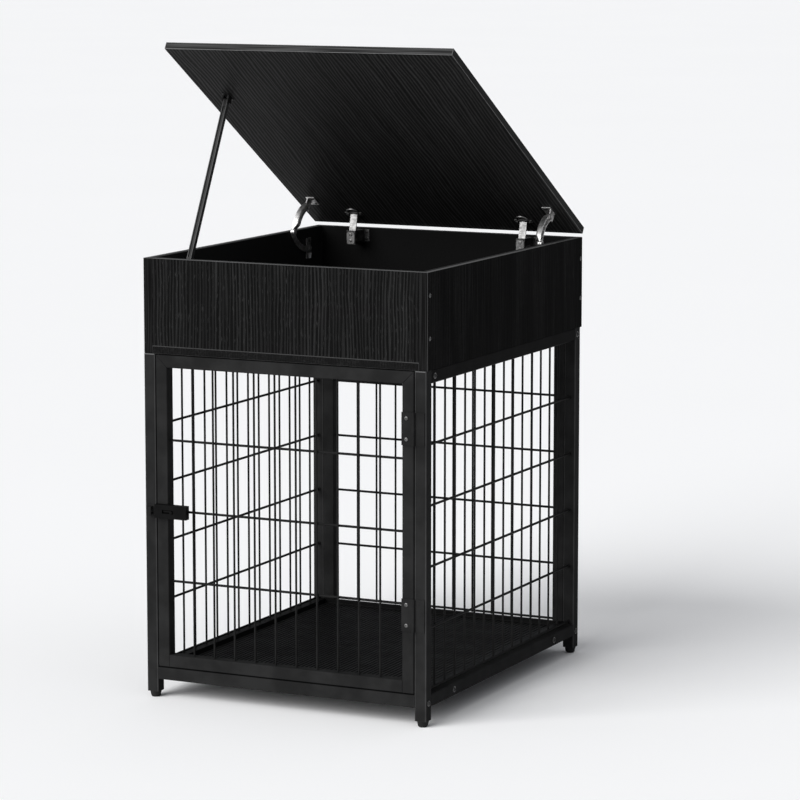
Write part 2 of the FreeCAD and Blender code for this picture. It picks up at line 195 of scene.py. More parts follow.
def coated(name, level, rough, gloss, grain=900.0, paints=()):
    """Powder coat, moulded plastic or plate: mottled tone, fine surface texture.
    paints are (maker of a mask from the tree and the point, grey level)."""
    material, tree, shader = start_material(name)
    point = place(tree)
    mottle = noise(tree, point, COAT_MOTTLE, 3.0)
    fine = noise(tree, point, grain, 2.0)
    tone = maths(tree, "ADD", product(tree, mottle, 0.7), product(tree, fine, 0.3))
    share = stepped(tree, tone, 0.35, 0.65)
    colour = blended(tree, share, grey(level * 0.8), grey(level * 1.25))
    for make_mask, painted in paints:
        colour = repainted(tree, colour, make_mask(tree, point), painted)
    put(tree, shader.inputs["Base Color"], colour)
    put(tree, shader.inputs["Roughness"],
        stepped(tree, mottle, 0.3, 0.7, rough - 0.05, rough + 0.07))
    shader.inputs["Specular IOR Level"].default_value = gloss
    bumped(tree, shader, fine, COAT_BUMP, COAT_RELIEF)
    return material


GRAIN_WANDER = 0.016        # how far the grain strays sideways over a board, in metres
RIB_WAVER = 11.0            # how far the ribbing's phase strays, in radians
LINE_STRENGTH = 0.62
PORE_FINENESS = 1.7         # of the grain's own pitch
EDGE_GRAIN = 620.0
GRAIN_BUMP = 0.5
GRAIN_RELIEF = 0.00018


def laminate(name, across, lengthwise, dark=0.0045, light=0.017, gloss=0.02, pitch=430.0,
             dashes=0.7, calm=0.35, comb=0.3, comb_pitch=0.0045, ends=None, paints=()):
    """Black wood-grain laminate: straight fine grain lines and short pores, lightly embossed.
    pitch is the grain's fineness per metre, dashes how strongly the pores show.
    calm is how even the grain is, comb how much of it is a regular ribbing at comb_pitch.
    ends is (mask maker, dark, light) for edge faces, whose grain runs along them.
    paints are (maker of a mask from the tree and the point, grey level), laid over the grain."""
    material, tree, shader = start_material(name)
    point = place(tree)
    u = along(tree, point, across)
    v = along(tree, point, lengthwise)
    w = along(tree, point, Vector(across).cross(Vector(lengthwise)))
    wander = noise(tree, combined(tree, product(tree, u, 7.0), product(tree, v, 5.0), w), 1.0, 2.0)
    u = maths(tree, "ADD", u, product(tree, maths(tree, "SUBTRACT", wander, 0.5), GRAIN_WANDER))
    base = combined(tree, u, v, w)

    lines = stepped(tree, streaks(tree, base, pitch, 5.0, 3.0, 0.6), 0.46, 0.64)
    pores = stepped(tree, streaks(tree, base, pitch * PORE_FINENESS, 60.0), 0.60, 0.72)
    bands = stepped(tree, streaks(tree, base, 42.0, 2.5), 0.34, 0.66, calm, 1.0)
    phase = maths(tree, "ADD", product(tree, u, 2 * math.pi / comb_pitch),
                  product(tree, streaks(tree, base, 70.0, 4.0), RIB_WAVER))
    ribbing = stepped(tree, maths(tree, "SINE", phase), -0.2, 0.9)
    grain = maths(tree, "ADD", product(tree, lines, LINE_STRENGTH * (1 - comb)),
                  product(tree, ribbing, comb))
    grain = maths(tree, "ADD", grain, product(tree, pores, dashes))
    mask = product(tree, grain, bands, clamp=True)

    colour = blended(tree, mask, grey(dark), grey(light))
    if ends:
        make_mask, end_dark, end_light = ends
        edge_point = combined(tree, product(tree, w, EDGE_GRAIN),
                              product(tree, maths(tree, "ADD", u, v), 7.0), 0.0)
        edge_mask = stepped(tree, noise(tree, edge_point, 1.0, 2.0), 0.4, 0.62)
        end_colour = blended(tree, edge_mask, grey(end_dark), grey(end_light))
        colour = blended(tree, make_mask(tree, point), colour, end_colour)
    for make_mask, level in paints:
        colour = repainted(tree, colour, make_mask(tree, point), level)
    put(tree, shader.inputs["Base Color"], colour)
    put(tree, shader.inputs["Roughness"], stepped(tree, mask, 0.0, 1.0, 0.52, 0.42))
    shader.inputs["Specular IOR Level"].default_value = gloss
    bumped(tree, shader, mask, GRAIN_BUMP, GRAIN_RELIEF)
    return material


PLATE_CLOUDS = 160.0        # patches per metre
SCRATCHES = (60.0, 900.0, 900.0)
PLATE_WARMTH = 0.01
SCRATCH_BUMP = 0.15
SCRATCH_RELIEF = 0.00005


def metal(name, level, rough):
    """Plated steel with faint drawn scratches and cloudy patches."""
    material, tree, shader = start_material(name)
    point = place(tree)
    cloud = noise(tree, point, PLATE_CLOUDS, 3.0)
    drawn = noise(tree, scaled(tree, point, SCRATCHES), 1.0, 2.0)
    put(tree, shader.inputs["Base Color"],
        blended(tree, stepped(tree, cloud, 0.35, 0.65),
                grey(level * 0.75, PLATE_WARMTH), grey(level * 1.15, PLATE_WARMTH)))
    put(tree, shader.inputs["Roughness"],
        stepped(tree, drawn, 0.3, 0.7, rough - 0.06, rough + 0.1))
    shader.inputs["Metallic"].default_value = 1.0
    bumped(tree, shader, drawn, SCRATCH_BUMP, SCRATCH_RELIEF)
    return material


# ---------------------------------------------------------------- materials
lid_depth = Vector((0.0, math.cos(LID_ANGLE), -math.sin(LID_ANGLE)))   # from nose to back
right_low, right_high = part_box("box_right_board")
front_low, front_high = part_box("box_front_board")
back_low, back_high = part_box("box_back_board")
leg_low, leg_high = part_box("leg_front_left")
rod_low, rod_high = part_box("prop_rod")
RIM_Z = right_high.z
ROD_X = (rod_low.x + rod_high.x) / 2
ROD_HALF = (rod_high.x - rod_low.x) / 2
LID_HALF = -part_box("lid_board")[0].x
LID_NOSE = min(vertex.co.dot(lid_depth) for vertex in NODES["lid_board"].data.vertices)
RIB_TOP_Z = (0.0481, 0.0490)

# grey levels of the painted faces
# painted light: a plain grey for the box's inside faces, set for the dim light inside
INSIDE_PAINTED_LIGHT = 0.0068
# painted fill light: a lighter grey for the left board's inside faces, which lie in the key light's shade
LEFT_INSIDE_PAINTED_FILL = 0.03
# the banding line along the front board's foot, and a painted highlight down the box's front corners
BANDING_AND_CORNER_HIGHLIGHT = 0.05
# painted highlight: a bright thin line along the rim's outer half
RIM_PAINTED_HIGHLIGHT = 0.11
RIM_INNER = 0.03
# painted highlight along the two edges of the prop rod's channel
ROD_EDGE_HIGHLIGHT = 0.05
# a lighter strip along the top front edge of the front legs
LEG_TOP_LINE = 0.11
# painted highlight: lighter tops on the tray's ribs
RIB_TOP_HIGHLIGHT = 0.013
LID_SIDE = 0.012


def axis_of(tree, point, index):
    node = tree.nodes.new("ShaderNodeSeparateXYZ")
    tree.links.new(point, node.inputs[0])
    return node.outputs[index]


def off_centre(tree, point):
    """The distance from the middle plane, to the left or the right."""
    return maths(tree, "ABSOLUTE", axis_of(tree, point, 0))


def rim(tree, point):
    """The banded top edges of the box."""
    return above(tree, axis_of(tree, point, 2), RIM_Z - 0.0004, RIM_Z - 0.0001)


def inside_faces(tree, point):
    """The faces that look into the box, where a plain grey is painted in for the dim light inside it."""
    inside_x = between(tree, axis_of(tree, point, 0), -right_low.x - 0.0003, right_low.x + 0.0003)
    inside_y = between(tree, axis_of(tree, point, 1), front_high.y - 0.0003, back_low.y + 0.0003)
    inside_z = between(tree, axis_of(tree, point, 2), front_low.z - 0.0003, RIM_Z - 0.0006)
    return product(tree, product(tree, inside_x, inside_y), inside_z)


def rim_outer_highlight(tree, point):
    """The outer half of the rim, painted bright as a highlight on the banding."""
    beside = above(tree, off_centre(tree, point), right_high.x - 0.0080, right_high.x - 0.0070)
    y = axis_of(tree, point, 1)
    ahead = below(tree, y, front_low.y + 0.0070, front_low.y + 0.0080)
    behind = above(tree, y, back_high.y - 0.0080, back_high.y - 0.0070)
    outer = maths(tree, "MAXIMUM", beside, maths(tree, "MAXIMUM", ahead, behind))
    return product(tree, outer, rim(tree, point))


def front_foot(tree, point):
    """The banding that shows as a line along the foot of the front board."""
    return below(tree, axis_of(tree, point, 2), front_low.z + 0.0005, front_low.z + 0.0009)


def front_end(tree, point):
    """The ends of the side boards that face forwards."""
    return below(tree, axis_of(tree, point, 1), front_low.y + 0.0002, front_low.y + 0.0004)


def front_corner_highlight(tree, point):
    """A painted highlight down the box's front corners."""
    outside = above(tree, off_centre(tree, point), right_high.x - 0.0009, right_high.x - 0.0005)
    ahead = below(tree, axis_of(tree, point, 1), front_low.y + 0.0002, front_low.y + 0.0005)
    return product(tree, outside, ahead)


def lid_nose(tree, point):
    """The banded front edge of the lid."""
    return below(tree, along(tree, point, lid_depth), LID_NOSE + 0.0001, LID_NOSE + 0.0003)


def lid_sides(tree, point):
    """The banded side edges of the lid."""
    return above(tree, off_centre(tree, point), LID_HALF - 0.0003, LID_HALF - 0.0001)


def rod_edge_highlights(tree, point):
    """Painted highlights along the two edges of the prop rod's channel."""
    from_rod = maths(tree, "SUBTRACT", axis_of(tree, point, 0), ROD_X)
    return between(tree, maths(tree, "ABSOLUTE", from_rod), ROD_HALF - 0.0012, ROD_HALF + 0.001,
                   0.0003)


def leg_top_line(tree, point):
    """A lighter strip along the top front edge of the front legs, seen as a line under the box."""
    top = above(tree, axis_of(tree, point, 2), leg_high.z - 0.0018, leg_high.z - 0.0014)
    ahead = below(tree, axis_of(tree, point, 1), leg_low.y + 0.0016, leg_low.y + 0.0020)
    return product(tree, top, ahead)


def rib_top_highlight(tree, point):
    """The tops of the tray's ribs, painted lighter as a highlight."""
    return between(tree, axis_of(tree, point, 2), *RIB_TOP_Z, 0.0002)


ACROSS_X, ACROSS_Y, UPRIGHT, BACKWARDS = (1, 0, 0), (0, 1, 0), (0, 0, 1), (0, 1, 0)
# board overlays: painted light on the inside faces, the banding's tone on the rim, a painted highlight on the
# rim's outer half
BOARD_PAINTS = ((inside_faces, INSIDE_PAINTED_LIGHT), (rim, RIM_INNER), (rim_outer_highlight, RIM_PAINTED_HIGHLIGHT))
FRONT_PAINTS = BOARD_PAINTS + ((front_foot, BANDING_AND_CORNER_HIGHLIGHT),)
# the side boards add a painted highlight down the box's front corners
SIDE_PAINTS = BOARD_PAINTS + ((front_corner_highlight, BANDING_AND_CORNER_HIGHLIGHT),)
# the left board's overlays, with painted fill light on its inside faces
LEFT_FILL_PAINTS = ((inside_faces, LEFT_INSIDE_PAINTED_FILL),) + SIDE_PAINTS[1:]
# painted shade: darker, less glossy tones than the front board's laminate, for the side boards
SIDE_PAINTED_SHADE_TONES = dict(dark=0.0018, light=0.015, gloss=0.004, comb=0.6, comb_pitch=0.0052, dashes=0.4,
                  ends=(front_end, 0.0044, 0.0145))
POWDER_LEVEL, POWDER_ROUGH, POWDER_GLOSS = 0.0158, 0.6, 0.01

# the finish of each material slot of the record
MATS = {
    "powder_black": coated("powder_coat", POWDER_LEVEL, POWDER_ROUGH, POWDER_GLOSS),
    "wire_black": coated("wire_coat", 0.010, 0.5, 0.04),
    "dark_laminate": laminate("laminate_front", ACROSS_X, UPRIGHT, dark=0.0028, light=0.0215,
                              dashes=1.2, calm=0.6, comb=0.6, comb_pitch=0.0060,
                              paints=FRONT_PAINTS),
    "dark_nickel": metal("dark_nickel", 0.2, 0.4),
    "screw_steel": metal("zinc_steel", 0.13, 0.4),
    "screw_black": coated("black_screw", 0.009, 0.35, 0.5),
    "rod_black": coated("satin_rod", 0.006, 0.36, 0.15, paints=((rod_edge_highlights, ROD_EDGE_HIGHLIGHT),)),
    "latch_black": coated("latch_coat", 0.0042, 0.4, 0.03),
    "foot_plastic": coated("foot_plastic", 0.012, 0.6, 0.1),
    "tray_plastic": coated("tray_plastic", 0.0045, 0.5, 0.05, grain=1400.0,
                           paints=((rib_top_highlight, RIB_TOP_HIGHLIGHT),)),
}

# finishes of single nodes, lighter materials that paint highlights on rounded edges, and small fittings
POWDER_EDGE_HIGHLIGHT = coated("powder_edge_highlight", 0.036, 0.5, 0.05)
BOARD_EDGE_HIGHLIGHT = coated("board_edge_highlight", 0.05, 0.5, 0.03)
LID_EDGE_HIGHLIGHT = coated("lid_edge_highlight", 0.13, 0.5, 0.03)
# painted shade for the floor of the hinge cups' recess
CUP_PAINTED_SHADE = coated("cup_recess_painted_shade", 0.006, 0.4, 0.2)
# the right board's laminate, with the side boards' painted shade tones
SIDE_LAMINATE_PAINTED_SHADE = laminate("laminate_side_painted_shade", ACROSS_Y, UPRIGHT, paints=SIDE_PAINTS, **SIDE_PAINTED_SHADE_TONES)
# the left board's laminate: the side boards' painted shade tones, and painted fill light on its inside faces
LEFT_LAMINATE_PAINTED_LIGHT = laminate("laminate_left_painted_light", ACROSS_Y, UPRIGHT, paints=LEFT_FILL_PAINTS, **SIDE_PAINTED_SHADE_TONES)
BRACKET = coated("satin_bracket", 0.009, 0.4, 0.1)
BOLT_RIM = metal("bolt_rim", 0.2, 0.3)
ARM_METAL = metal("hinge_arm_metal", 0.08, 0.3)
STAY_METAL = metal("stay_metal", 0.6, 0.45)
# painted highlight: near-white finish for the V-shaped sheet on each stay's wall plate
V_HIGHLIGHT_PAINT = coated("v_highlight_paint", 0.75, 0.35, 0.5)
LEG_COAT = coated("leg_coat", POWDER_LEVEL, POWDER_ROUGH, POWDER_GLOSS,
                  paints=((leg_top_line, LEG_TOP_LINE),))
# painted shade: a darker copy of the powder coat for the two top rails
TOP_RAIL_PAINTED_SHADE = coated("top_rail_painted_shade", 0.0095, 0.6, 0.006)
# the floor board's inside face takes the painted light grey
FLOOR_LAMINATE = laminate("laminate_floor", ACROSS_X, BACKWARDS, paints=((inside_faces, INSIDE_PAINTED_LIGHT),))
LID_LAMINATE = laminate("laminate_lid", ACROSS_X, lid_depth, dark=0.009, light=0.035, pitch=330.0,
                        dashes=0.35, calm=0.82, comb=0.72, comb_pitch=0.0066,
                        ends=(lid_nose, 0.016, 0.055), paints=((lid_sides, LID_SIDE),))

SLOT_OF = {row["node"]: row["material_slot"] for row in frame["record"]["subparts"]}
OWN_FINISH = {
    "box_left_board": LEFT_LAMINATE_PAINTED_LIGHT, "box_right_board": SIDE_LAMINATE_PAINTED_SHADE,
    "box_bottom_board": FLOOR_LAMINATE, "lid_board": LID_LAMINATE,
    "prop_lid_bracket": BRACKET, "left_top_rail": TOP_RAIL_PAINTED_SHADE, "right_top_rail": TOP_RAIL_PAINTED_SHADE,
}
GROUP_FINISH = {"lid_hinge_arm": ARM_METAL, "stay_": STAY_METAL, "leg_front": LEG_COAT}


def dress(obj, material):
    obj.data.materials.clear()
    obj.data.materials.append(material)


def material_for(node):
    """A node's own finish, its group's by the start of its name, or its slot's."""
    if node in OWN_FINISH:
        return OWN_FINISH[node]
    for prefix, material in GROUP_FINISH.items():
        if node.startswith(prefix):
            return material
    return MATS[SLOT_OF[node]]


# ---------------------------------------------------------------- softened edges on the CAD nodes
ON_SKIN = 1e-5              # how near an edge lies to the piece's box to count as outer


def soften(node, lengthwise_radius, end_radius, segments=3, edge_highlight=None, turn=0.0):
    """Rounds a straight CAD piece's outer edges: the long ones more than those at its ends.
    turn is the angle about X that lays a tilted piece square; the edge material, when given, covers the rounding
    as a painted highlight."""
    obj = NODES[node]
    mesh = obj.data
    square = Matrix.Rotation(turn, 3, "X")
    points = [square @ vertex.co for vertex in mesh.vertices]
    low = [min(point[i] for point in points) for i in range(3)]
    high = [max(point[i] for point in points) for i in range(3)]
    axis = max(range(3), key=lambda i: high[i] - low[i])
    if "custom_normal" in mesh.attributes:
        mesh.attributes.remove(mesh.attributes["custom_normal"])
    # the loaded mesh is split along its sharp edges, so these belong to one face only
    uses = [0] * len(mesh.edges)
    edge_index = {tuple(sorted(edge.vertices)): edge.index for edge in mesh.edges}
    for face in mesh.polygons:
        for key in face.edge_keys:
            uses[edge_index[tuple(sorted(key))]] += 1
    weights = [0.0] * len(mesh.edges)
    for edge in mesh.edges:
        if uses[edge.index] != 1:
            continue
        a, b = (points[i] for i in edge.vertices)
        skins = 0
        for i in range(3):
            if i != axis:
                skins += any(abs(a[i] - side) < ON_SKIN and abs(b[i] - side) < ON_SKIN
                             for side in (low[i], high[i]))
        runs_along = abs((b - a).normalized()[axis]) > 0.99
        if runs_along and skins == 2:
            weights[edge.index] = 1.0
        elif not runs_along and skins >= 1:
            weights[edge.index] = end_radius / lengthwise_radius
    attribute = mesh.attributes.new("bevel_weight_edge", "FLOAT", "EDGE")
    attribute.data.foreach_set("value", weights)
    weld = obj.modifiers.new("weld", "WELD")
    weld.merge_threshold = 1e-5
    bevel = obj.modifiers.new("bevel", "BEVEL")
    bevel.limit_method = "WEIGHT"
    bevel.width = lengthwise_radius
    bevel.segments = segments
    bevel.harden_normals = True
    # the rounding takes the lighter material, a painted highlight
    if edge_highlight:
        mesh.materials.append(edge_highlight)
        bevel.material = 1


TUBES = ("leg_front_left", "leg_front_right", "leg_back_left", "leg_back_right",
         "front_bottom_rail", "left_bottom_rail", "left_top_rail", "right_bottom_rail",
         "right_top_rail", "back_stile_left", "back_stile_right", "back_top_rail",
         "back_bottom_rail", "door_stile_left", "door_stile_right", "door_top_rail",
         "door_bottom_rail")
MITRED = ("door_stile_left", "door_stile_right", "door_top_rail")
# the back and bottom boards get a painted highlight on their rounded edges
BOARDS = {"box_left_board": None, "box_right_board": None, "box_front_board": None,
          "box_back_board": BOARD_EDGE_HIGHLIGHT, "box_bottom_board": BOARD_EDGE_HIGHLIGHT}
TUBE_RADIUS = 1.6 * MM
TUBE_END, MITRE_END = 0.35 * MM, 1.2 * MM
BOARD_RADIUS = 0.5 * MM
LID_RADIUS = 0.6 * MM

for node_name, node in NODES.items():
    dress(node, material_for(node_name))
for tube_name in TUBES:
    soften(tube_name, TUBE_RADIUS, MITRE_END if tube_name in MITRED else TUBE_END,
           edge_highlight=POWDER_EDGE_HIGHLIGHT if tube_name.startswith("leg") else None)
for board_name, board_highlight in BOARDS.items():
    soften(board_name, BOARD_RADIUS, BOARD_RADIUS, 2, edge_highlight=board_highlight)
soften("lid_board", LID_RADIUS, LID_RADIUS, 2, edge_highlight=LID_EDGE_HIGHLIGHT, turn=LID_ANGLE)


# ---------------------------------------------------------------- screw heads
def islands(node):
    """The (lowest, highest) corners of each separate solid of a CAD node."""
    mesh = NODES[node].data
    group = {}

    def root(key):
        while group[key] != key:
            group[key] = group[group[key]]
            key = group[key]
        return key

    keys = [tuple(round(c, 6) for c in vertex.co) for vertex in mesh.vertices]
    for key in keys:
        group.setdefault(key, key)
    for edge in mesh.edges:
        a, b = (root(keys[i]) for i in edge.vertices)
        group[max(a, b)] = min(a, b)
    corners = {}
    for key in sorted(group):
        low, high = corners.setdefault(root(key), (list(key), list(key)))
        for i in range(3):
            low[i] = min(low[i], key[i])
            high[i] = max(high[i], key[i])
    return [(Vector(low), Vector(high)) for low, high in corners.values()]


def spokes():
    """Directions round a head, with the corners of a cross recess among them, and how far
    the recess reaches in each, as shares of its arm length."""
    half_width = 0.26
    corner = math.atan(half_width)
    steps = [0.0, corner * 0.5, corner, corner + (math.pi / 4 - corner) / 3,
             corner + 2 * (math.pi / 4 - corner) / 3]
    first = [(a, 1 / math.cos(a) if a <= corner else half_width / math.sin(a)) for a in steps]
    middle = [(math.pi / 4, half_width * math.sqrt(2))]
    second = [(math.pi / 2 - a, reach) for a, reach in reversed(first)][:-1]
    quarter = first + middle + second
    return [(a + k * math.pi / 2, reach) for k in range(4) for a, reach in quarter]


def seated(centre, outward):
    """The matrix that sets a shape on centre with its Z along outward."""
    return Matrix.Translation(centre) @ outward.to_track_quat("Z", "Y").to_matrix().to_4x4()


# a pan head's rings, from the seat over the dome and down into the recess, as shares of its
# radius and height; the third value says whether a ring follows the cross
HEAD_RINGS = ((1.0, 0.0, False), (1.0, 0.35, False), (0.93, 0.68, False), (0.8, 0.88, False),
              (0.66, 0.97, False), (0.58, 1.0, True), (0.5, 0.45, True), (0.2, 0.2, False))


def add_head(bm, centre, outward, radius, height, turn):
    """A pan head with a cross recess: centre is on the seat, outward its axis."""
    matrix = seated(centre, outward)
    rows = []
    for width, level, crossed in HEAD_RINGS:
        row = []
        for angle, reach in spokes():
            out = radius * width * (reach if crossed else 1.0)
            row.append(matrix @ Vector((math.cos(angle + turn) * out,
                                        math.sin(angle + turn) * out, height * level)))
        rows.append(row)
    add_strip(bm, rows, closed=True)


def add_strip(bm, rows, closed=False, capped=True):
    """Faces between neighbouring rows of points; each row is an open or closed section."""
    made = [[bm.verts.new(point) for point in row] for row in rows]
    count = len(made[0])
    for lower, upper in zip(made, made[1:]):
        for i in range(count if closed else count - 1):
            j = (i + 1) % count
            bm.faces.new((lower[i], lower[j], upper[j], upper[i]))
    if capped:
        bm.faces.new(list(reversed(made[0])))
        bm.faces.new(made[-1])


def finished(name, bm, material, body, smooth=35.0):
    """A piece made of bm's mesh, riding on body, with smooth shading below an angle."""
    mesh = bpy.data.meshes.new(name)
    bm.to_mesh(mesh)
    bm.free()
    mesh.shade_smooth()
    mesh.set_sharp_from_angle(angle=math.radians(smooth))
    piece = bpy.data.objects.new(name, mesh)
    bpy.context.scene.collection.objects.link(piece)
    dress(piece, material)
    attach(piece, body)
    return piece


def square_on(direction):
    """Whether direction is along one of the frame's axes."""
    return max(abs(c) for c in direction) > 0.99


HEAD_HEIGHT = 0.0013
TILTED_HEAD_HEIGHT = 0.001
# screws below this on the wall brackets give way to the painted V highlight
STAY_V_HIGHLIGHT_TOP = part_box("stay_wall_bracket_left")[0].z + 0.0105
STAY_SIDE_X = 0.22          # fittings further out than this are the stays' wall brackets


def under_v_highlight(node, centre):
    """Whether a screw is the wall bracket's lower one, whose place the painted V highlight takes."""
    return (node == "box_hardware_screws" and abs(centre.x) > STAY_SIDE_X
            and centre.z < STAY_V_HIGHLIGHT_TOP)


def screw_heads(node, name, body, outward_of, slot):
    """Recessed heads in place of the plain discs of a CAD node."""
    bm = bmesh.new()
    for k, (low, high) in enumerate(islands(node)):
        centre = (low + high) / 2
        if under_v_highlight(node, centre):
            continue
        outward = outward_of(centre)
        size = high - low
        if square_on(outward):
            height = min(HEAD_HEIGHT, abs(size.dot(outward)))
            radius = max(size) / 2
        else:
            height = TILTED_HEAD_HEIGHT
            radius = size.x / 2
        add_head(bm, centre - outward * height / 2, outward, radius, height, 0.35 + 1.1 * k)
    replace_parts(finished(name, bm, MATS[slot], body), node)


# (radius, height, follows the hexagon) in mm, from the seat up and down into the socket
BOLT_RINGS = ((3.5, 0.0, False), (3.5, 1.3, False), (3.3, 1.75, False), (2.9, 2.1, False),
              (2.5, 2.2, False), (2.3, 2.2, True), (2.2, 0.9, True), (0.3, 0.7, False))
WASHER_PROFILE = ((4.7, 0.0), (4.7, 0.5), (4.4, 0.8), (3.9, 0.8), (3.6, 0.6), (3.6, 0.0))
BOLT_FACETS = 36


def build_frame_bolts():
    """Dark button heads with a hexagon socket, each inside a bright washer ring."""
    heads = bmesh.new()
    rims = bmesh.new()
    angles = [2 * math.pi * k / BOLT_FACETS for k in range(BOLT_FACETS)]
    sextant = math.pi / 3
    hexagon = [math.cos(sextant / 2) / math.cos(a % sextant - sextant / 2) for a in angles]
    for low, high in islands("frame_bolts"):
        side = 1 if low.x > 0 else -1
        seat = Vector((low.x if side > 0 else high.x, (low.y + high.y) / 2, (low.z + high.z) / 2))
        matrix = seated(seat, Vector((side, 0, 0)))
        rows = []
        for radius, level, hexed in BOLT_RINGS:
            reaches = [radius * MM * (h if hexed else 1) for h in hexagon]
            rows.append([matrix @ Vector((reach * math.cos(a), reach * math.sin(a), level * MM))
                         for a, reach in zip(angles, reaches)])
        add_strip(heads, rows, closed=True)
        rows = [[matrix @ Vector((radius * MM * math.cos(a), radius * MM * math.sin(a), level * MM))
                 for a in angles] for radius, level in WASHER_PROFILE]
        add_strip(rims, rows + rows[:1], closed=True, capped=False)
        bmesh.ops.remove_doubles(rims, verts=rims.verts, dist=1e-7)
    bmesh.ops.recalc_face_normals(rims, faces=rims.faces)
    head_piece = finished("frame_bolt_heads", heads, MATS["screw_black"], "crate")
    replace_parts(head_piece, "frame_bolts")
    finished("frame_bolt_rings", rims, BOLT_RIM, "crate")


AHEAD = Vector((0, -1, 0))
lid_face = Vector((0.0, -math.sin(LID_ANGLE), -math.cos(LID_ANGLE)))


def sideways(centre, sign=1):
    """Out of the side that centre is on, or with sign -1 into the box."""
    return Vector((sign if centre.x > 0 else -sign, 0, 0))


screw_heads("door_screws", "door_hinge_screw_heads", "door", lambda c: AHEAD, "screw_steel")
screw_heads("box_screws", "box_side_screw_heads", "crate", sideways, "screw_black")
screw_heads("box_hardware_screws", "box_fitting_screw_heads", "crate",
            lambda c: sideways(c, -1) if abs(c.x) >= 0.2 else AHEAD, "screw_steel")
screw_heads("lid_hardware_screws", "lid_fitting_screw_heads", "lid", lambda c: lid_face,
            "screw_steel")


# ---------------------------------------------------------------- hinges and stays
JOINTS = {joint["name"]: joint for joint in frame["joints"]}
lid_pivot = Vector(JOINTS["lid_hinge"]["pos_m"])
OPENED = (Matrix.Translation(lid_pivot) @ Matrix.Rotation(-LID_ANGLE, 4, "X")
          @ Matrix.Translation(-lid_pivot))
LID_UNDERSIDE = 0.7166      # with the lid shut
STAY_TIP = OPENED @ Vector((0.0, 0.23037, 0.7066))
STAY_BULGE = 0.011          # of each arm, off the line between its pivots


def add_turned(bm, centre, outward, profile, count=40):
    """A turned shape: profile is (radius, height along outward) from the seat up."""
    matrix = seated(centre, outward)
    rows = []
    for radius, height in profile:
        rows.append([matrix @ Vector((radius * math.cos(a), radius * math.sin(a), height))
                     for a in (2 * math.pi * k / count for k in range(count))])
    add_strip(bm, rows, closed=True)


def rounded_outline(width, height, radius, steps=6):
    """A rounded rectangle's points, anticlockwise, about zero."""
    points = []
    for k, (sx, sy) in enumerate(((1, -1), (1, 1), (-1, 1), (-1, -1))):
        for i in range(steps + 1):
            a = math.radians(-90 + 90 * k + 90 * i / steps)
            points.append((sx * (width / 2 - radius) + radius * math.cos(a),
                           sy * (height / 2 - radius) + radius * math.sin(a)))
    return points


def add_plate(bm, centre, outward, up, width, height, thickness, radius, bevel=0.0003):
    """A flat plate with rounded corners and a small bevel round its face."""
    outward = outward.normalized()
    up = up.normalized()
    side = up.cross(outward)
    rows = []
    for inset, level in ((0.0, 0.0), (0.0, thickness - bevel), (bevel, thickness)):
        outline = rounded_outline(width - 2 * inset, height - 2 * inset, radius - inset)
        rows.append([centre + side * x + up * y + outward * level for x, y in outline])
    add_strip(bm, rows, closed=True)


def arm_frames(start, end, steps=36):
    """Points, directions across and progress along an arc bowed to the left of start-end."""
    chord = end - start
    half = chord.length / 2
    radius = (half ** 2 + STAY_BULGE ** 2) / (2 * STAY_BULGE)
    left = Vector((0.0, -chord.z, chord.y)).normalized()
    centre = (start + end) / 2 - left * (radius - STAY_BULGE)
    sweep = math.asin(half / radius)
    forward = chord.normalized()
    for k in range(steps + 1):
        a = -sweep + 2 * sweep * k / steps
        out = left * math.cos(a) + forward * math.sin(a)
        yield centre + out * radius, out, k / steps


# half of the arm's width is 1 across; up is the share of the channel's rise
ARM_SECTION = ((0.0, -1.0), (0.62, -1.0), (0.85, -0.93), (0.97, -0.78), (1.0, -0.6),
               (1.0, -0.34), (0.97, -0.26), (0.88, -0.17), (0.86, 0.0), (0.88, 0.17),
               (0.97, 0.26), (1.0, 0.34), (1.0, 0.6), (0.97, 0.78), (0.85, 0.93),
               (0.62, 1.0), (0.0, 1.0))
ARM_WALL_X = 0.2318         # the arm's flat side, towards the box's wall
ARM_STUB_X = 0.2300
ARM_HALF_WIDTH = 0.0055
ARM_SKIN = 0.0011
ARM_END_RISE, ARM_CHANNEL_RISE = 0.0016, 0.0084
ARM_TAPER = 0.22            # share of the arm over which the channel fades
STUB_PROFILE = ((0.0022, 0.0), (0.0022, 0.0024), (0.0048, 0.0025), (0.0048, 0.0031),
                (0.0042, 0.0035))


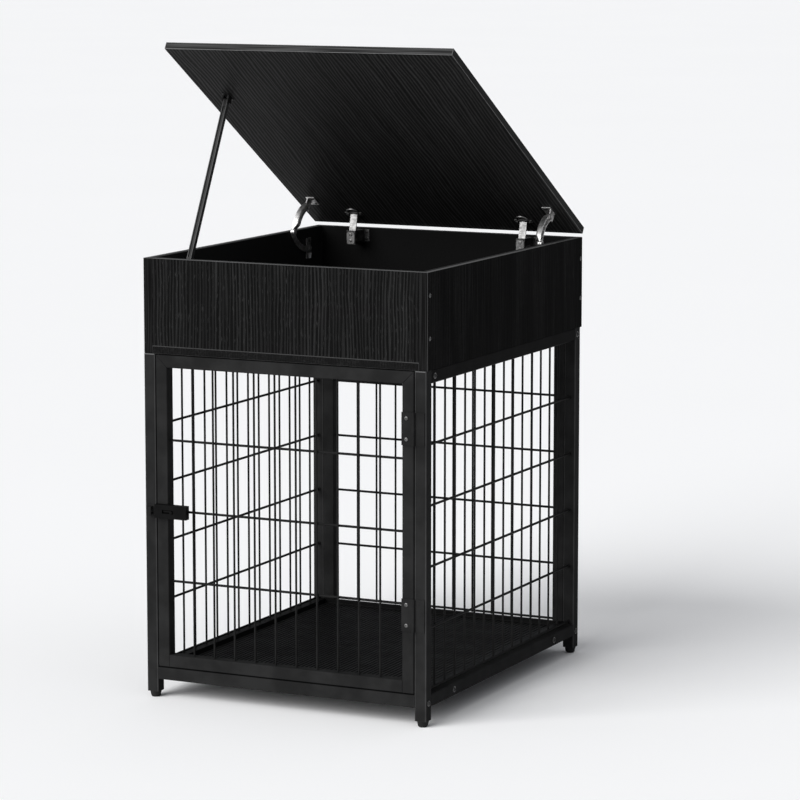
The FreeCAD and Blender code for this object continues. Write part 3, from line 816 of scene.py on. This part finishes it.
def build_upper_arm(side_name, s):
    """The pressed upper arm: a rounded channel with a bead, fading to flat ends."""
    elbow = Vector(JOINTS["stay_elbow_" + side_name]["pos_m"])
    wall_x = s * ARM_WALL_X
    start = Vector((0.0, elbow.y, elbow.z))
    end = Vector((0.0, STAY_TIP.y, STAY_TIP.z))
    rows = []
    for point, out, progress in arm_frames(start, end):
        taper = min(1.0, min(progress, 1 - progress) / ARM_TAPER)
        rise = ARM_END_RISE + ARM_CHANNEL_RISE * taper * taper * (3 - 2 * taper)
        inner_rise = max(0.0, rise - ARM_SKIN)
        half = ARM_HALF_WIDTH * (1.0 if taper >= 0.5 else 0.94 + 0.12 * taper)
        outer = [point + out * (half * across) + Vector((wall_x - s * rise * up, 0, 0))
                 for up, across in ARM_SECTION]
        inner = [point + out * ((half - ARM_SKIN) * across)
                 + Vector((wall_x - s * inner_rise * up, 0, 0))
                 for up, across in reversed(ARM_SECTION)]
        rows.append(outer + inner)
    bm = bmesh.new()
    add_strip(bm, rows, closed=True)
    inward = Vector((-s, 0, 0))
    for spot, disc in ((start, 0.0064), (end, 0.0058)):
        add_turned(bm, Vector((wall_x - s * 0.0002, spot.y, spot.z)), inward,
                   ((disc, 0.0), (disc, 0.0014), (disc - 0.0004, 0.0018), (0.0030, 0.0018)))
    add_turned(bm, Vector((s * ARM_STUB_X, end.y, end.z)), inward, STUB_PROFILE)
    bmesh.ops.recalc_face_normals(bm, faces=bm.faces)
    piece = finished("stay_channel_arm_" + side_name, bm, STAY_METAL,
                     "stay_upper_" + side_name, 40.0)
    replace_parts(piece, "stay_upper_arm_" + side_name)


# the V-shaped sheet of painted highlight on each stay's wall plate
V_HIGHLIGHT_WALL_X = 0.2344
V_HIGHLIGHT_FROM_BACK = 0.0048     # of the wall bracket, clear of the lower arm with the lid shut
V_HIGHLIGHT_TOP = 0.0088           # above the wall bracket's foot
V_HIGHLIGHT_OUTLINE = ((-0.0042, 0.0), (-0.0022, 0.0), (0.0, -0.0058), (0.0022, 0.0), (0.0042, 0.0),
                (0.0010, -0.0086), (-0.0010, -0.0086))


def build_wall_v_highlight(side_name, s):
    """A thin near-white V-shaped sheet on the stay's wall plate, a painted highlight seen from inside the box."""
    low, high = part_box("stay_wall_bracket_" + side_name)
    y = high.y - V_HIGHLIGHT_FROM_BACK
    top = low.z + V_HIGHLIGHT_TOP
    bm = bmesh.new()
    rows = []
    for share, level in ((1.0, 0.0), (1.0, 0.0015), (0.8, 0.0022)):
        rows.append([Vector((s * V_HIGHLIGHT_WALL_X - s * level, y + dy * share, top + dz))
                     for dy, dz in V_HIGHLIGHT_OUTLINE])
    add_strip(bm, rows, closed=True)
    bmesh.ops.recalc_face_normals(bm, faces=bm.faces)
    finished("stay_wall_v_highlight_" + side_name, bm, V_HIGHLIGHT_PAINT, "crate", 30.0)


NOSE_THICKNESS = 0.0012
CUP_FROM_ARM_BACK = 0.0322
CUP_PROFILE = ((0.0106, 0.0), (0.0106, 0.0018), (0.0102, 0.0023), (0.0094, 0.0024),
               (0.0088, 0.0020), (0.0086, 0.0006))


def build_hinge_nose(side_name):
    """The rounded nose of a hinge arm with its two screws, and the arm's two cheek plates."""
    low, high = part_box("lid_hinge_arm_" + side_name)
    middle = (low.x + high.x) / 2
    nose_z = (low.z + high.z) / 2
    up = Vector((0, 0, 1))
    bm = bmesh.new()
    add_plate(bm, Vector((middle, low.y, nose_z - 0.0006)), AHEAD, up, 0.0150, 0.0218,
              NOSE_THICKNESS, 0.0045, 0.0005)
    for dz in (-0.0052, 0.0050):
        add_head(bm, Vector((middle, low.y - NOSE_THICKNESS, nose_z + dz)), AHEAD, 0.0029, 0.0009,
                 0.5 + dz * 90)
    for x in (low.x, high.x):
        outward = Vector((1 if x > middle else -1, 0, 0))
        add_plate(bm, Vector((x, (low.y + high.y) / 2 - 0.004, low.z + 0.008)), outward, up,
                  0.022, 0.007, 0.0006, 0.0034, 0.0003)
    bmesh.ops.recalc_face_normals(bm, faces=bm.faces)
    finished("hinge_arm_nose_" + side_name, bm, MATS["dark_nickel"], "crate", 35.0)


def build_cup_rim(side_name):
    """The bright rim of a hinge cup under the lid, with painted shade on the floor of its recess."""
    low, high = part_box("lid_hinge_arm_" + side_name)
    middle = (low.x + high.x) / 2
    cup = OPENED @ Vector((middle, high.y - CUP_FROM_ARM_BACK, LID_UNDERSIDE))
    bm = bmesh.new()
    add_turned(bm, cup, lid_face, CUP_PROFILE, 56)
    bmesh.ops.recalc_face_normals(bm, faces=bm.faces)
    ring = finished("hinge_cup_rim_" + side_name, bm, MATS["dark_nickel"], "lid",
                    40.0)
    ring.data.materials.append(CUP_PAINTED_SHADE)
    # painted shade: the recess's floor takes the dark material
    ring.data.polygons[len(ring.data.polygons) - 1].material_index = 1   # the last cap


build_frame_bolts()
for side_name, side_sign in LEFT_RIGHT.items():
    build_upper_arm(side_name, side_sign)
    build_wall_v_highlight(side_name, side_sign)
    build_hinge_nose(side_name)
    build_cup_rim(side_name)


# ---------------------------------------------------------------- camera
CAMERA_YAW = math.radians(25.713)
CAMERA_PITCH = math.radians(8.422)
CAMERA_DISTANCE = 5.7263
CAMERA_TARGET = Vector((0.01778, 0.08776, 0.45233))
CAMERA_LENS, CAMERA_SENSOR = 154.0, 36.0
toward_camera = Vector((math.sin(CAMERA_YAW) * math.cos(CAMERA_PITCH),
                        -math.cos(CAMERA_YAW) * math.cos(CAMERA_PITCH), math.sin(CAMERA_PITCH)))
camera_data = bpy.data.cameras.new("camera")
camera_data.lens = CAMERA_LENS
camera_data.sensor_width = CAMERA_SENSOR
camera = bpy.data.objects.new("camera", camera_data)
bpy.context.scene.collection.objects.link(camera)
camera.location = CAMERA_TARGET + toward_camera * CAMERA_DISTANCE
camera.rotation_euler = (-toward_camera).to_track_quat("-Z", "Y").to_euler()
bpy.context.scene.camera = camera


# ---------------------------------------------------------------- floor and light
FLOOR_HALF = 60.0
WORLD_COLOUR = (0.93, 0.95, 1.0, 1.0)
WORLD_STRENGTH = 0.3
# name, strength, spread in degrees, direction that the light comes from
SUNS = (("key", 3.7, 50.0, (-0.5, -1.2, 0.75)), ("top", 0.35, 80.0, (0.1, -0.2, 1.6)))


def build_floor():
    mesh = bpy.data.meshes.new("floor")
    corners = [(x * FLOOR_HALF, y * FLOOR_HALF, 0) for x, y in ((-1, -1), (1, -1), (1, 1), (-1, 1))]
    mesh.from_pydata(corners, [], [(0, 1, 2, 3)])
    floor = bpy.data.objects.new("floor", mesh)
    bpy.context.scene.collection.objects.link(floor)
    material, tree, shader = start_material("studio_floor")
    patch = noise(tree, place(tree), 0.7, 2.0)
    put(tree, shader.inputs["Base Color"], blended(tree, patch, grey(0.965), grey(0.985)))
    shader.inputs["Roughness"].default_value = 0.7
    shader.inputs["Specular IOR Level"].default_value = 0.1
    dress(floor, material)


def build_lights():
    world = bpy.data.worlds.new("studio")
    bpy.context.scene.world = world
    world.use_nodes = True
    background = world.node_tree.nodes["Background"]
    background.inputs["Color"].default_value = WORLD_COLOUR
    background.inputs["Strength"].default_value = WORLD_STRENGTH
    for name, energy, spread, direction in SUNS:
        light = bpy.data.lights.new(name, "SUN")
        light.energy = energy
        light.angle = math.radians(spread)
        lamp = bpy.data.objects.new(name, light)
        bpy.context.scene.collection.objects.link(lamp)
        lamp.rotation_euler = Vector(direction).to_track_quat("Z", "Y").to_euler()


build_floor()
build_lights()
bpy.context.scene.view_settings.view_transform = "Standard"
